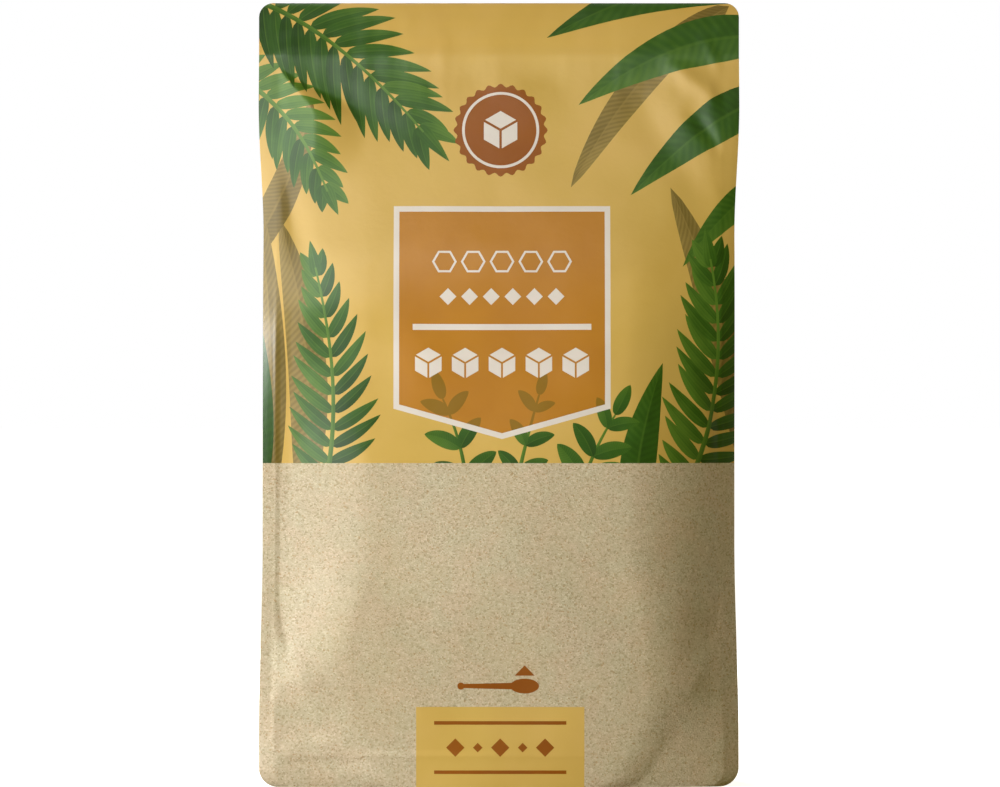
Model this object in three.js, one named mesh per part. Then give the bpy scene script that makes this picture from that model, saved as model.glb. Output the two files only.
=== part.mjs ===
// A one-kilogram bag of brown sugar: a film pouch with side gussets, a flat top
// seal, four narrow upright edge seals and a flat bottom that it stands on.
//
// Millimetres, +Z up. The front faces -Y, and the origin is the middle of the
// bottom face. The bag is one closed solid, lofted through level cross-sections.

import * as THREE from "three";

const { clamp, lerp, smoothstep } = THREE.MathUtils;

// ---- Driving dimensions ----------------------------------------------------

const HEIGHT = 196.8; // bottom face to the top edge of the seal
const DEPTH = 70; // front to back where the bag is fullest

const WIDTH_FOOT = 120; // across the edge seals at the bottom
const WIDTH_WAIST = 118; // across the edge seals where the panels are fullest
const WIDTH_HEAD = 121; // across the edge seals at the top
const FOOT_TO = 12; // the foot's width holds below this level
const WAIST_FROM = 62; // the waist's width holds between these two levels
const WAIST_TO = 137;
const HEAD_FROM = 172; // the head's width holds above this level

const FOOT_RADIUS = 4.8; // corner radius of the outline at the bottom
const HEAD_RADIUS = 3.6; // corner radius of the outline at the top

const TOP_SEAL = 13; // height of the flat top seal
const EDGE_SEAL = 3.25; // width of each upright edge seal
const SEAL_SET = 0.6; // how far an upright seal's tip leans back from its root
const SEAL_THICKNESS = 1; // thickness of every seal
const TIP_SHARE = 0.6; // an edge seal thins to this share of it at its tip

const GUSSET = 52; // film width of a side panel, between its two edge seals
const SIDE_BELLY = 2.2; // how far a full side panel stands out past the seal roots
const TUCK = 24; // how deep the gusset folds in under the top seal

const FACE_CROWN = 2.6; // height of the front panel's gentle crown
const EDGE_RISE = DEPTH / 2 - GUSSET / 2 - FACE_CROWN; // from the edge seals up to the crown
const EDGE_ROUND = 23; // width over which a full panel curves back to its seals
const FOOT_ROUND = 9; // and at the bottom
const ROUND_FROM = 10; // the curve widens between these two levels
const ROUND_TO = 60;
const ROUND_POWER = 1.6; // how late the panel turns into that curve
const FOOT_FILL = 0.75; // share of the panel's relief that is left at the bottom
const FULLEST = 60; // the panels stand out at full relief up to this level

const FOOT_PINCH = 20.2; // the curve is drawn in by this much at the bottom corners
const FOOT_PINCH_HEIGHT = 47; // and meets the edge seals at this level
const HEAD_PINCH = 13; // the same at the top corners, under the seal
const HEAD_PINCH_HEIGHT = 34;
const PINCH_LEAST = 0.8; // and in between
const PINCH_POWER = 1.35; // bend of the crease that bounds a pinched corner
const FACET_SHARE = 0.7; // share of the rise that a pinched corner's facet takes
const FACET_FULL = 8; // from this much pinch on

const SHOULDER = 112; // the panels start to lean together at this level
const SHOULDER_BEND = 0.35; // share of the lean that the bend takes up
const NOTCH_END = 178; // the gusset's fold closes between here and the seal

// ---- Sampling --------------------------------------------------------------

const FACE_STEPS = 8; // points across the crown of half a panel
const ROUND_STEPS = 6; // points across its curved edge
const FACET_STEPS = 2; // points across a pinched corner's facet
const SIDE_STEPS = 5; // points across half a side panel
const CORNER_STEPS = 4; // levels round a corner radius

const SEAL_LEVEL = HEIGHT - TOP_SEAL;

// ---- Profiles over the height ----------------------------------------------

// Eases in over the first `bend` of the way, then runs straight to 1.
function lean(t, bend) {
  const way = clamp(t, 0, 1);
  const run = way < bend ? (way * way) / (2 * bend) : way - bend / 2;
  return run / (1 - bend / 2);
}

// How much a rounded corner of the outline takes off at `rise` from its end.
function cornerCut(rise, radius) {
  const left = radius - clamp(rise, 0, radius);
  return radius - Math.sqrt(radius * radius - left * left);
}

function halfWidth(z) {
  const toWaist = smoothstep(z, FOOT_TO, WAIST_FROM);
  const toHead = smoothstep(z, WAIST_TO, HEAD_FROM);
  const straight = lerp(lerp(WIDTH_FOOT, WIDTH_WAIST, toWaist), WIDTH_HEAD, toHead) / 2;
  return straight - cornerCut(z, FOOT_RADIUS) - cornerCut(HEIGHT - z, HEAD_RADIUS);
}

function shoulderLean(z) {
  return lean((z - SHOULDER) / (SEAL_LEVEL - SHOULDER), SHOULDER_BEND);
}

// Half the distance between the front and the back edge seals.
function halfSealGap(z) {
  return lerp(GUSSET / 2, SEAL_THICKNESS / 2, shoulderLean(z));
}

// Share of the panel's full relief: less at the bottom, none in the top seal.
function fill(z) {
  const foot = lerp(FOOT_FILL, 1, smoothstep(z, 0, FOOT_PINCH_HEIGHT));
  return foot * (1 - smoothstep(z, FULLEST, SEAL_LEVEL));
}

// How far the crease of a pinched corner lies in from the root of the edge seal.
function pinch(z) {
  const foot = clamp(1 - z / FOOT_PINCH_HEIGHT, 0, 1);
  const head = clamp(1 - (SEAL_LEVEL - z) / HEAD_PINCH_HEIGHT, 0, 1);
  return PINCH_LEAST + FOOT_PINCH * foot ** PINCH_POWER + HEAD_PINCH * head ** PINCH_POWER;
}

function roundWidth(z) {
  return lerp(FOOT_ROUND, EDGE_ROUND, smoothstep(z, ROUND_FROM, ROUND_TO));
}

// ---- Cross-section ---------------------------------------------------------

// Distance of the front panel from the bag's middle plane.
function panelDepth(x, z) {
  const crease = halfWidth(z) - EDGE_SEAL - pinch(z);
  const across = clamp((x - (crease - roundWidth(z))) / roundWidth(z), 0, 1);
  const share = FACET_SHARE * smoothstep(pinch(z), PINCH_LEAST, FACET_FULL);
  const facet = clamp((x - crease) / pinch(z), 0, 1);
  const rise = EDGE_RISE * (lerp(1, share, across ** ROUND_POWER) - share * facet);
  const crown = FACE_CROWN * (1 - clamp(x / crease, 0, 1) ** 2);
  return halfSealGap(z) + fill(z) * (rise + crown);
}

// Place of the side panel: `part` runs from 0 at the seal root to 1 in the middle.
function sideX(part, z) {
  const root = halfWidth(z) - EDGE_SEAL;
  const folded = clamp((z - SHOULDER) / (SEAL_LEVEL - SHOULDER), 0, 1);
  const sharpness = lerp(3, 1, folded); // a broad hollow below, a V under the seal
  const hollow = 1 - (1 - part) ** sharpness;
  const belly = SIDE_BELLY * (1 - (1 - part) ** 2) * (1 - folded) * smoothstep(z, -8, 20);
  const closing = clamp((z - NOTCH_END) / (SEAL_LEVEL - NOTCH_END), 0, 1);
  return lerp(root + belly - TUCK * folded * hollow, halfWidth(z), closing);
}

// A quarter of the section, from the middle of the front to the middle of the side.
function quarterSection(z) {
  const root = halfWidth(z) - EDGE_SEAL;
  const crease = root - pinch(z);
  const crownEnd = crease - roundWidth(z);
  const points = [];
  for (let i = 0; i < FACE_STEPS; i += 1) {
    const x = (crownEnd * i) / FACE_STEPS;
    points.push(new THREE.Vector2(x, -panelDepth(x, z)));
  }
  for (let i = 0; i < ROUND_STEPS; i += 1) {
    const x = crownEnd + (roundWidth(z) * i) / ROUND_STEPS;
    points.push(new THREE.Vector2(x, -panelDepth(x, z)));
  }
  for (let i = 0; i < FACET_STEPS; i += 1) {
    const x = crease + (pinch(z) * i) / FACET_STEPS;
    points.push(new THREE.Vector2(x, -panelDepth(x, z)));
  }
  const gap = halfSealGap(z);
  const thickness = Math.min(SEAL_THICKNESS, gap * 0.4);
  const tip = gap - (SEAL_SET * gap) / (GUSSET / 2);
  points.push(new THREE.Vector2(root, -gap));
  points.push(new THREE.Vector2(halfWidth(z), -tip));
  points.push(new THREE.Vector2(halfWidth(z), thickness * TIP_SHARE - tip));
  for (let i = 0; i <= SIDE_STEPS; i += 1) {
    const part = i / SIDE_STEPS;
    points.push(new THREE.Vector2(sideX(part, z), (thickness - gap) * (1 - part)));
  }
  return points;
}

// The whole section, anticlockwise seen from above, mirrored from one quarter.
function section(z) {
  const quarter = quarterSection(z);
  const back = quarter.slice(0, -1).reverse();
  const right = [...quarter, ...back.map((p) => new THREE.Vector2(p.x, -p.y))];
  const left = right.slice(1, -1).reverse();
  return [...right, ...left.map((p) => new THREE.Vector2(-p.x, p.y))];
}

// ---- Loft ------------------------------------------------------------------

function steps(from, to, count) {
  return Array.from({ length: count }, (_, i) => from + ((to - from) * i) / count);
}

function levels() {
  const corner = (radius) =>
    steps(0, 1, CORNER_STEPS).map((t) => radius * (1 - Math.cos((Math.PI / 2) * t)));
  const foot = corner(FOOT_RADIUS);
  const head = corner(HEAD_RADIUS).map((drop) => HEIGHT - drop).reverse();
  return [
    ...foot,
    ...steps(FOOT_RADIUS, FOOT_PINCH_HEIGHT, 7),
    ...steps(FOOT_PINCH_HEIGHT, SHOULDER, 6),
    ...steps(SHOULDER, NOTCH_END, 11),
    ...steps(NOTCH_END, SEAL_LEVEL, 3),
    ...steps(SEAL_LEVEL, HEIGHT - HEAD_RADIUS, 2),
    HEIGHT - HEAD_RADIUS,
    ...head,
  ];
}

// Closed geometry through a stack of sections that all have as many points.
function loft(heights, sectionAt) {
  const rings = heights.map(sectionAt);
  const count = rings[0].length;
  const position = rings.flatMap((ring, i) => ring.flatMap((p) => [p.x, p.y, heights[i]]));
  const index = [];
  for (let i = 0; i + 1 < rings.length; i += 1) {
    for (let j = 0; j < count; j += 1) {
      const a = i * count + j;
      const b = i * count + ((j + 1) % count);
      index.push(a, b, b + count, a, b + count, a + count);
    }
  }
  const top = (rings.length - 1) * count;
  for (const [a, b, c] of THREE.ShapeUtils.triangulateShape(rings[0], [])) {
    index.push(a, c, b);
  }
  for (const [a, b, c] of THREE.ShapeUtils.triangulateShape(rings.at(-1), [])) {
    index.push(top + a, top + b, top + c);
  }
  const geometry = new THREE.BufferGeometry();
  geometry.setAttribute("position", new THREE.Float32BufferAttribute(position, 3));
  geometry.setIndex(index);
  geometry.computeVertexNormals();
  return geometry;
}

// ---- The bag ---------------------------------------------------------------

function sugarBag() {
  const film = new THREE.MeshStandardMaterial({
    color: 0xcfac5a,
    roughness: 0.34,
    metalness: 0,
  });
  const bag = new THREE.Mesh(loft(levels(), section), film);
  bag.name = "sugar_bag";
  return bag;
}

const group = new THREE.Group();
group.add(sugarBag());

export default group;
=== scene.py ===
"""A one-kilogram bag of brown sugar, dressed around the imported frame.

The film is rebuilt from the same named sizes as the frame's solid: a front, a back, two side
gussets and a base. Each panel is drawn flat, in millimetres along and up the film, and is then
laid on the bag, so that the print follows every bend. +Z is up, and the front faces -Y.
"""

import math

import bpy
import numpy as np
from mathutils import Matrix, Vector
from mathutils.geometry import delaunay_2d_cdt


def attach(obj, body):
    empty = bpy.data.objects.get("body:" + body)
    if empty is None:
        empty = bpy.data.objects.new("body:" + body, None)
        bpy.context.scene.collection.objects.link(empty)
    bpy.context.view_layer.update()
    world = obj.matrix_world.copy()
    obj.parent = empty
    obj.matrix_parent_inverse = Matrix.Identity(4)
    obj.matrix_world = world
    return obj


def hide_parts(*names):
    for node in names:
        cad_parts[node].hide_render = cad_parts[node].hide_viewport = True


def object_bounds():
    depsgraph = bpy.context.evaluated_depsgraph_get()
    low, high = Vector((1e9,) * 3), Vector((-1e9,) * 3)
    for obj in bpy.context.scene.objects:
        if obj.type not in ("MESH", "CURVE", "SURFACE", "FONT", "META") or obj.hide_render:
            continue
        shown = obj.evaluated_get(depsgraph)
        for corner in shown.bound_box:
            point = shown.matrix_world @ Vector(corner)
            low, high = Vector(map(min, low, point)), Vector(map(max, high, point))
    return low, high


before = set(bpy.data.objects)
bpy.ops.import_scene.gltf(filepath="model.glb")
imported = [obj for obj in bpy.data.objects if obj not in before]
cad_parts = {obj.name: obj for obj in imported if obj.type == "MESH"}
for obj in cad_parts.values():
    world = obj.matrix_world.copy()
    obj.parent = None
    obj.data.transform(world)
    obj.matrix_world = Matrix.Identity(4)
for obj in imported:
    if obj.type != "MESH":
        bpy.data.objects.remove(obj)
cad_low, cad_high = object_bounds()

MM = 0.001  # the shapes below are in millimetres

# ---- Sizes of the bag ----
# As in the part, apart from the few that say how the film differs.

HEIGHT = cad_high.z / MM
DEPTH = (cad_high.y - cad_low.y) / MM

WIDTH_FOOT = 120  # across the edge seals at the bottom
WIDTH_WAIST = 118  # and where the panels are fullest
WIDTH_HEAD = 121  # and at the top
FOOT_TO = 12  # the foot's width holds below this level
WAIST_FROM = 62  # the waist's width holds between these two levels
WAIST_TO = 137
HEAD_FROM = 172  # the head's width holds above this level

FOOT_RADIUS = 4.8  # corner radius of the outline at the bottom
HEAD_RADIUS = 3.6  # and at the top

TOP_SEAL = 13  # height of the flat top seal
EDGE_SEAL = 3.25  # width of each upright edge seal
SEAL_SET = 1.6  # how far a seal's tip leans back from its root, more than the solid's
SEAL_THICKNESS = 0.4  # thinner than the solid's
SEAL_SHARE = 0.4  # but never more than this share of the gap behind it
SEAL_LEVEL = HEIGHT - TOP_SEAL

GUSSET = 52  # film width of a side panel, between its two edge seals
SIDE_BELLY = 2.2  # how far a full side panel stands out past the seal roots
BELLY_FROM = -8  # it grows between these two levels
BELLY_TO = 20
TUCK = 24  # how deep the gusset folds in under the top seal
HOLLOW_POWER = 3  # the fold is a broad hollow below, and a V under the seal

FACE_CROWN = 2.6  # height of a panel's gentle crown
EDGE_RISE = DEPTH / 2 - GUSSET / 2 - FACE_CROWN  # from the edge seals up to the crown
EDGE_ROUND = 23  # width over which a full panel curves back to its seals
FOOT_ROUND = 9  # and at the bottom
ROUND_FROM = 10  # the curve widens between these two levels
ROUND_TO = 60
ROUND_POWER = 1.6  # how late the panel turns into that curve
FOOT_FILL = 0.75  # share of the panel's relief that is left at the bottom
FULLEST = 45  # the film flattens from a little lower down than the solid

FOOT_PINCH = 20.2  # the curve is drawn in by this much at the bottom corners
FOOT_PINCH_HEIGHT = 47  # and meets the edge seals at this level
HEAD_PINCH = 13  # the same at the top corners, under the seal
HEAD_PINCH_HEIGHT = 34
PINCH_LEAST = 0.8  # and in between
PINCH_POWER = 1.35  # bend of the crease that bounds a pinched corner
FACET_SHARE = 0.7  # share of the rise that a pinched corner's facet takes
FACET_FULL = 8  # from this much pinch on

SHOULDER = 112  # the panels start to lean together at this level
SHOULDER_BEND = 0.35  # share of the lean that the bend takes up
NOTCH_END = 180.5  # the gusset's fold closes from here on, a little above the solid's

SKEW = 6  # the full bag's left edges stand this much further forward, its right ones back
SKEW_POWER = 4.5  # how close to its edges the skew stays
SKEW_FOOT = 0.5  # share of it at the bottom
SKEW_FULL = 55  # it is whole from this level on
SKEW_FROM = 75  # and fades out between these two
SKEW_TO = 145

SUGAR_LEVEL = 81  # the printed field ends here, and the sugar shows below it
FOOT_SEAL = 8  # height of the seal line round the foot
TOP_WRAP = SEAL_THICKNESS  # film that turns over the top edge, to the middle

# ---- Shape of the film, level by level ----


def lerp(a, b, t):
    return a + (b - a) * t


def share(value, low, high):
    """How far a value is on its way from low to high, between 0 and 1."""
    return np.clip((value - low) / (high - low), 0.0, 1.0)


def smooth(value, low, high):
    """The same, eased at both ends."""
    t = share(value, low, high)
    return t * t * (3 - 2 * t)


def lean(t, bend):
    """Eases in over the first part of the way, then runs straight to 1."""
    return np.where(t < bend, t * t / (2 * bend), t - bend / 2) / (1 - bend / 2)


def corner_cut(rise, radius):
    """How much a rounded corner of the outline takes off at this distance from its end."""
    left = radius - np.clip(rise, 0, radius)
    return radius - np.sqrt(radius * radius - left * left)


def half_width(z):
    waist = lerp(WIDTH_FOOT, WIDTH_WAIST, smooth(z, FOOT_TO, WAIST_FROM))
    straight = lerp(waist, WIDTH_HEAD, smooth(z, WAIST_TO, HEAD_FROM)) / 2
    return straight - corner_cut(z, FOOT_RADIUS) - corner_cut(HEIGHT - z, HEAD_RADIUS)


def half_seal_gap(z):
    """Half the distance between the front and the back edge seals."""
    return lerp(GUSSET / 2, SEAL_THICKNESS, lean(share(z, SHOULDER, SEAL_LEVEL), SHOULDER_BEND))


def fill(z):
    """Share of a panel's full relief: less at the bottom, none in the top seal."""
    foot = lerp(FOOT_FILL, 1, smooth(z, 0, FOOT_PINCH_HEIGHT))
    return foot * (1 - smooth(z, FULLEST, SEAL_LEVEL))


def pinch(z):
    """How far the crease of a pinched corner lies in from the root of the edge seal."""
    foot = np.clip(1 - z / FOOT_PINCH_HEIGHT, 0, 1)
    head = np.clip(1 - (SEAL_LEVEL - z) / HEAD_PINCH_HEIGHT, 0, 1)
    return PINCH_LEAST + FOOT_PINCH * foot**PINCH_POWER + HEAD_PINCH * head**PINCH_POWER


def round_width(z):
    return lerp(FOOT_ROUND, EDGE_ROUND, smooth(z, ROUND_FROM, ROUND_TO))


def tip_gap(gap):
    """Half the distance between the tips of two edge seals, which lean in from their roots."""
    return gap * (1 - SEAL_SET / (GUSSET / 2))


CROWN_STEPS = np.linspace(0, 1, 20, endpoint=False)
ROUND_STEPS = np.linspace(0, 1, 24, endpoint=False)
FACET_STEPS = np.linspace(0, 1, 4, endpoint=False)
SIDE_STEPS = np.linspace(0, 1, 28)


def face_path(z):
    """Front or back panel, from its middle out to the tip of the edge seal: across, outward."""
    tip = half_width(z)[:, None]
    root = tip - EDGE_SEAL
    drawn = pinch(z)[:, None]
    crease = root - drawn
    crown_end = crease - round_width(z)[:, None]
    across = np.concatenate(
        [
            crown_end * CROWN_STEPS,
            lerp(crown_end, crease, ROUND_STEPS),
            lerp(crease, root, FACET_STEPS),
        ],
        axis=1,
    )
    facet_share = FACET_SHARE * smooth(drawn, PINCH_LEAST, FACET_FULL)
    bend = share(across, crown_end, crease) ** ROUND_POWER
    rise = EDGE_RISE * (lerp(1, facet_share, bend) - facet_share * share(across, crease, root))
    crown = FACE_CROWN * (1 - np.clip(across / crease, 0, 1) ** 2)
    gap = half_seal_gap(z)[:, None]
    out = gap + fill(z)[:, None] * (rise + crown)
    across = np.concatenate([across, root, tip], axis=1)
    return across, np.concatenate([out, gap, tip_gap(gap)], axis=1)


def side_path(z):
    """Side gusset, from its middle fold out to the tip of the edge seal: across, outward."""
    tip = half_width(z)[:, None]
    gap = half_seal_gap(z)[:, None]
    thickness = np.minimum(SEAL_THICKNESS, gap * SEAL_SHARE)
    folded = share(z, SHOULDER, SEAL_LEVEL)[:, None]
    hollow = 1 - SIDE_STEPS ** lerp(HOLLOW_POWER, 1, folded)
    full = SIDE_BELLY * (1 - folded) * smooth(z, BELLY_FROM, BELLY_TO)[:, None]
    side = tip - EDGE_SEAL + full * (1 - SIDE_STEPS**2) - TUCK * folded * hollow
    side = lerp(side, tip, share(z, NOTCH_END, SEAL_LEVEL)[:, None])
    edge = tip_gap(gap)
    across = np.concatenate([(gap - thickness) * SIDE_STEPS, edge - thickness, edge], axis=1)
    return across, np.concatenate([side, tip, tip], axis=1)


def path_length(path, z):
    """Length of film from the middle of a panel to each point of its path."""
    across, out = path(z)
    pieces = np.hypot(np.diff(across, axis=1), np.diff(out, axis=1))
    return np.concatenate([np.zeros((len(z), 1)), np.cumsum(pieces, axis=1)], axis=1)


def half_span(path, z):
    """Length of film from the middle of a panel to its edge."""
    return path_length(path, np.minimum(z, HEIGHT))[:, -1]


def film_point(path, s, z):
    """Place of the film at s along and z up a panel: across, outward, up."""
    level = np.minimum(z, HEIGHT)
    across, out = path(level)
    length = path_length(path, level)
    row = np.arange(len(s))
    k = np.clip((length <= np.abs(s)[:, None]).sum(axis=1) - 1, 0, across.shape[1] - 2)
    way = (np.abs(s) - length[row, k]) / (length[row, k + 1] - length[row, k])
    side = lerp(across[row, k], across[row, k + 1], way) * np.where(s < 0, -1, 1)
    outward = lerp(out[row, k], out[row, k + 1], way) - np.maximum(z - HEIGHT, 0)
    return np.stack([side, outward, level], axis=1)


# ---- Relief of the film: soft dents, folds and seal marks ----

LUMPS = [(0.3, 27), (0.1, 13), (0.02, 5.5), (0.006, 2.6)]  # height and size, coarse to fine
SEAL_RIDGE = (0.16, 0.9)  # height and width of the ridge where the top seal starts
FOOT_RIDGE = (0.14, 0.7)  # height and width of the seal line round the foot
RIB_HEIGHT = 0.05  # level ribs in the top seal
RIB_PITCH = 4.4
GATHER_HEIGHT = 0.04  # fine upright gathers in and under the top seal
GATHER_SIZE = 9
GATHER_SQUEEZE = (3.2, 0.35)  # along and up the film
HEAD_FADE = (2.5, 0.5)  # ribs and gathers end between these distances from the top edge
SEAL_GROOVE = 0.14  # depth of the groove at the root of a front or back edge seal
GROOVE_WIDTHS = (0.8, 1.2)  # on the panel's side and on the seal's side
GATHERED = (158, 182)  # the gathers grow between these levels
GROOVED = (150, 182)  # and the groove fades out between these
CALM_EDGE = 4.5  # dents and folds fade out this near to an edge seal
FOLD_FADE = 0.35  # share of a fold's length over which each of its ends fades
PATCH_RISE = 18  # height over which a flat patch starts
PATCH_RETURN = 2.5  # it falls back by this many of its own widths from the edge

NOISE_CELLS = 97  # along each side of a table of random values
NOISE_SHIFT = 40  # cells between the table's corner and the bag's origin


def value_noise(x, y, size, seed):
    """Smooth noise from -1 to 1 with lumps of about this size."""
    table = np.random.default_rng(seed).uniform(-1, 1, (NOISE_CELLS, NOISE_CELLS))
    u, v = x / size + NOISE_SHIFT, y / size + NOISE_SHIFT
    i, j = np.floor(u).astype(int), np.floor(v).astype(int)
    fu, fv = (t * t * t * (t * (t * 6 - 15) + 10) for t in (u - i, v - j))

    def at(a, b):
        return table[(i + a) % NOISE_CELLS, (j + b) % NOISE_CELLS]

    return lerp(lerp(at(0, 0), at(1, 0), fu), lerp(at(0, 1), at(1, 1), fu), fv)


def ridge(distance, height, width):
    """Height of a soft ridge at this distance from its middle line."""
    return height * np.exp(-((distance / width) ** 2))


def fold(s, z, start, end, width, height):
    """A soft ridge, or a valley where height is negative, along a line that fades at its ends."""
    (s0, z0), (s1, z1) = start, end
    run = np.hypot(s1 - s0, z1 - z0)
    along = ((s - s0) * (s1 - s0) + (z - z0) * (z1 - z0)) / run**2
    off = ((s - s0) * (z1 - z0) - (z - z0) * (s1 - s0)) / run
    fade = smooth(along, 0, FOLD_FADE) * (1 - smooth(along, 1 - FOLD_FADE, 1))
    return fade * ridge(off, height, width)


def flat_patch(s, z, edge, top, low, width, slope):
    """A flat patch that rises to the right from an upright edge, and widens downward."""
    wide = np.maximum(width * smooth(z, top, low), 0.1)
    rise = np.clip(s - edge, 0, wide) * (1 - smooth(s - edge, wide, PATCH_RETURN * wide))
    return slope * rise * smooth(z, low - PATCH_RISE, low)


FRONT_FOLDS = [
    # start, end, width, height
    ((-52, 184), (-22, 160), 4.5, -0.3),
    ((-57, 160), (-45, 120), 3.5, -0.45),
    ((40, 184), (60, 168), 2.6, 0.5),
    ((46, 172), (61, 154), 2.2, -0.55),
    ((50, 190), (59, 176), 1.6, 0.25),
    ((30, 178), (56, 140), 5.0, -0.35),
    ((-34, 128), (-12, 100), 6.0, 0.35),
    ((-50, 118), (-20, 92), 7.0, -0.35),
    ((10, 60), (44, 34), 7.0, -0.3),
    ((-46, 60), (-22, 30), 6.0, 0.3),
    ((-56, 46), (-38, 0), 2.2, 0.15),
    ((-61, 9), (-34, 11), 3.0, 0.45),
    ((50, 60), (42, 20), 5.0, 0.2),
    ((-20, 22), (24, 14), 5.0, -0.22),
    ((46, 110), (57, 80), 3.0, 0.3),
    ((-8, 182), (18, 166), 5.0, 0.25),
]
SIDE_FOLDS = [
    ((-20, 118), (0, 150), 2.2, 0.5),
    ((20, 118), (0, 150), 2.2, 0.5),
    ((-18, 128), (16, 108), 3.5, -0.4),
    ((-20, 40), (-4, 4), 3.0, -0.4),
    ((20, 44), (6, 4), 3.0, 0.35),
    ((-12, 92), (14, 70), 5.0, 0.3),
]
FRONT_PATCHES = [(-55.5, 182, 167, 9, 0.2)]  # edge, top, low, width, slope


def mirrored(folds):
    """The same folds the other way round and a little lower, for the opposite panel."""
    return [((-a, b), (-c, d), width, 0.9 * height) for (a, b), (c, d), width, height in folds]


def relief(s, z, span, panel):
    """How far the film stands out from its plain shape."""
    seed = panel["seed"]
    high = sum(
        height * value_noise(s, z, size, seed + i) for i, (height, size) in enumerate(LUMPS)
    )
    high = high * smooth(z, 1, 12) * (1 - smooth(z, SEAL_LEVEL - 8, SEAL_LEVEL))
    for start, end, width, height in panel["folds"]:
        high = high + fold(s, z, start, end, width, height)
    for patch in panel["patches"]:
        high = high + flat_patch(s, z, *patch)
    waves = np.cos((z - SEAL_LEVEL) * math.tau / RIB_PITCH)
    ribs = RIB_HEIGHT * waves * smooth(z, SEAL_LEVEL, SEAL_LEVEL + 2)
    narrow, tall = GATHER_SQUEEZE
    pleats = value_noise(s * narrow, z * tall, GATHER_SIZE, seed + len(LUMPS))
    gathers = GATHER_HEIGHT * pleats * smooth(z, *GATHERED)
    head_from, head_to = (HEIGHT - distance for distance in HEAD_FADE)
    high = high + (ribs + gathers) * (1 - smooth(z, head_from, head_to))
    high = high + ridge(z - SEAL_LEVEL, *SEAL_RIDGE) + ridge(z - FOOT_SEAL, *FOOT_RIDGE)
    inset = span - np.abs(s) - EDGE_SEAL
    groove = ridge(inset, panel["groove"], np.where(inset > 0, *GROOVE_WIDTHS))
    groove = groove * (1 - smooth(z, *GROOVED))
    return (high * smooth(inset, 0, CALM_EDGE) - groove) * smooth(z, 0, 3)


# ---- Print: shapes drawn on the flat film, painted from back to front ----

STEM_SAMPLES = 16
FROND_SPREAD = (68, 24)  # degrees from the rib to its leaflets, at its foot and at its tip
FROND_BOW = 9  # degrees by which a leaflet bows away from the rib
FROND_TONES = 0.16  # half the step in tone between its two sides, and each leaflet's own
RIB_WIDTHS = (1.5, 0.5)
SPRIG_SPREAD = (42, 58)
SPRIG_BOW = 14
SPRIG_RATIO = 0.42  # width over length of a sprig's leaf
SPRIG_WIDTHS = (1.2, 0.5)
SPRIG_LAST = 0.7  # length of the leaf at the end over that of the first ones


class Shape:
    """One printed shape. A leaf also keeps its middle line, half widths and tone."""

    def __init__(self, ink, outline, line=None, half=None, tone=0.5):
        points = np.asarray(outline, float)
        x, y = points.T
        turn = np.sum(x * np.roll(y, -1) - np.roll(x, -1) * y)
        self.ink = ink
        self.outline = points if turn > 0 else points[::-1]
        self.line = line
        self.half = half
        self.tone = tone


def bezier(start, bend, tip, t):
    """Points of a bent line at the shares t of its way."""
    t = np.asarray(t, float)[:, None]
    a, b, c = (np.asarray(p, float) for p in (start, bend, tip))
    return a * (1 - t) ** 2 + b * 2 * t * (1 - t) + c * t**2


def heading(line):
    """Unit vectors along a line of points."""
    along = np.gradient(line, axis=0)
    return along / np.linalg.norm(along, axis=1)[:, None]


def edges(line, half):
    """The left and the right edge of a strip with these half widths about a line."""
    along = heading(line)
    side = np.stack([-along[:, 1], along[:, 0]], axis=1) * half[:, None]
    return line + side, line - side


def blade(ink, start, bend, tip, width, tone=0.5, base=0.55, point=0.9, samples=22):
    """A leaf along a bent line. Lower base and point make a blunter end."""
    t = np.linspace(0, 1, samples)
    line = bezier(start, bend, tip, t)
    form = t**base * (1 - t) ** point
    half = width / 2 * form / form.max()
    left, right = edges(line, half)
    return Shape(ink, np.concatenate([left[:-1], right[:0:-1]]), line, half, tone)


def stem(start, bend, tip, widths, tone):
    """A stem or rib that narrows from its foot to its tip."""
    line = bezier(start, bend, tip, np.linspace(0, 1, STEM_SAMPLES))
    half = np.linspace(*widths, STEM_SAMPLES) / 2
    left, right = edges(line, half)
    return Shape("leaf", np.concatenate([left, right[::-1]]), line, half, tone)


def turned(vector, degrees):
    a = math.radians(degrees)
    x, y = vector
    return np.array([x * math.cos(a) - y * math.sin(a), x * math.sin(a) + y * math.cos(a)])


def frond(start, bend, tip, leaflet, count, seed, width=3.2, tone=0.5):
    """A feather palm's frond: slim leaflets on both sides of a bent rib."""
    rng = np.random.default_rng(seed)
    t = (np.arange(count) + 0.6) / count
    line = bezier(start, bend, tip, t)
    along = heading(line)
    shapes = []
    for i in range(count):
        length = leaflet * (0.35 + 0.65 * math.sin(math.pi * (0.18 + 0.74 * t[i])))
        spread = lerp(*FROND_SPREAD, t[i])
        for side in (-1, 1):
            angle = side * spread + rng.uniform(-4, 4)
            reach = length * rng.uniform(0.9, 1.08)
            end = line[i] + turned(along[i], angle) * reach
            middle = line[i] + turned(along[i], angle + side * FROND_BOW) * reach * 0.5
            shade = tone + FROND_TONES * side + rng.uniform(-FROND_TONES, FROND_TONES)
            shapes.append(blade("leaf", line[i], middle, end, width, shade, 0.5, samples=15))
    shapes.append(blade("leaf", line[-1], tip, tip + along[-1] * leaflet * 0.5, width, tone))
    shapes.append(stem(start, bend, tip, RIB_WIDTHS, tone + 0.35))
    return shapes


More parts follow.
